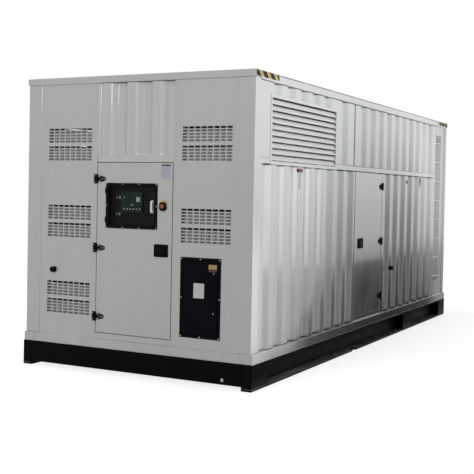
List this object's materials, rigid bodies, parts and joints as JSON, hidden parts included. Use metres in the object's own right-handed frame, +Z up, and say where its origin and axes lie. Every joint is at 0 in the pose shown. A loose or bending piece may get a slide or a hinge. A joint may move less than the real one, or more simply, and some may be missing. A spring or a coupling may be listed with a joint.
{
  "type": "containerised diesel generator set",
  "caption": "Walk-in containerised diesel generator set on a black base frame, with a control panel door, cable box, vent grilles, louvres, side doors and ladders.",
  "frame": {"origin": "on the floor, at the middle of the base frame", "axes": "+X across the set to its long side with the louvre, ladder and hinged side door, +Y along the set away from the control end, +Z up"},
  "size_m": [2.466, 6.076, 2.7],
  "materials": {
    "white_paint": "semi-gloss white paint",
    "base_black": "satin black paint",
    "floor_grey": "grey painted chequer plate",
    "hood_lining": "pale painted sheet",
    "hardware_black": "black powder coat",
    "instrument_dark": "dark moulded plastic",
    "window_glass": "clear panel",
    "bright_metal": "bright metal",
    "signal_yellow": "yellow plate",
    "signal_red": "red push button",
    "buffer_rubber": "black rubber"
  },
  "bodies": {
    "enclosure": {"corner_feet": "base_black", "base_side_beams": "base_black", "base_end_beams": "base_black", "cross_members": "base_black", "floor_plate": "floor_grey", "bottom_side_rails": "white_paint", "bottom_end_rails": "white_paint", "corner_posts": "white_paint", "top_side_rails": "white_paint", "end_headers": "white_paint", "roof_panel": "white_paint", "mid_rails": "white_paint", "front_wall_left": "white_paint", "front_wall_right": "white_paint", "front_wall_over_door": "white_paint", "door_sills": "white_paint", "door_stops": "white_paint", "vent_grilles": "white_paint", "vent_hoods": "hood_lining", "cable_box": "hardware_black", "side_walls_lower": "white_paint", "side_walls_upper": "white_paint", "side_walls_rear": "white_paint", "rear_wall": "white_paint", "louvre_frames": "white_paint", "louvre_blades": "white_paint", "left_door": "white_paint", "left_door_hinges": "hardware_black", "left_door_handle": "hardware_black", "hinge_plates": "hardware_black", "door_buffers": "buffer_rubber", "ladder_niches": "white_paint", "ladder_rungs": "white_paint"},
    "access_door": {"access_door": "white_paint", "access_door_hinges": "hardware_black", "access_door_handle": "hardware_black", "control_housing": "hardware_black", "instrument_plate": "instrument_dark", "controller": "instrument_dark", "gauges": "instrument_dark", "control_window_frame": "hardware_black", "control_window": "window_glass", "window_handle": "bright_metal", "stop_button_plate": "signal_yellow", "stop_button_guard": "instrument_dark", "stop_button": "signal_red"},
    "cable_door": {"cable_box_door": "hardware_black", "cable_door_hinges": "hardware_black", "cable_door_locks": "bright_metal"},
    "right_door": {"right_door": "white_paint", "right_door_hinges": "hardware_black", "right_door_handle": "hardware_black"}
  },
  "joints": [
    {"name": "access_door_hinge", "type": "hinge", "parent": "enclosure", "child": "access_door", "pos_m": [-0.4, -3.021, 0.368], "axis": [0, 0, -1], "range_deg": [0, 170]},
    {"name": "cable_door_hinge", "type": "hinge", "parent": "enclosure", "child": "cable_door", "pos_m": [0.527, -3.021, 0.404], "axis": [0, 0, -1], "range_deg": [0, 120]},
    {"name": "right_door_hinge", "type": "hinge", "parent": "enclosure", "child": "right_door", "pos_m": [1.207, 0.2735, 0.368], "axis": [0, 0, 1], "range_deg": [0, 170]}
  ]
}
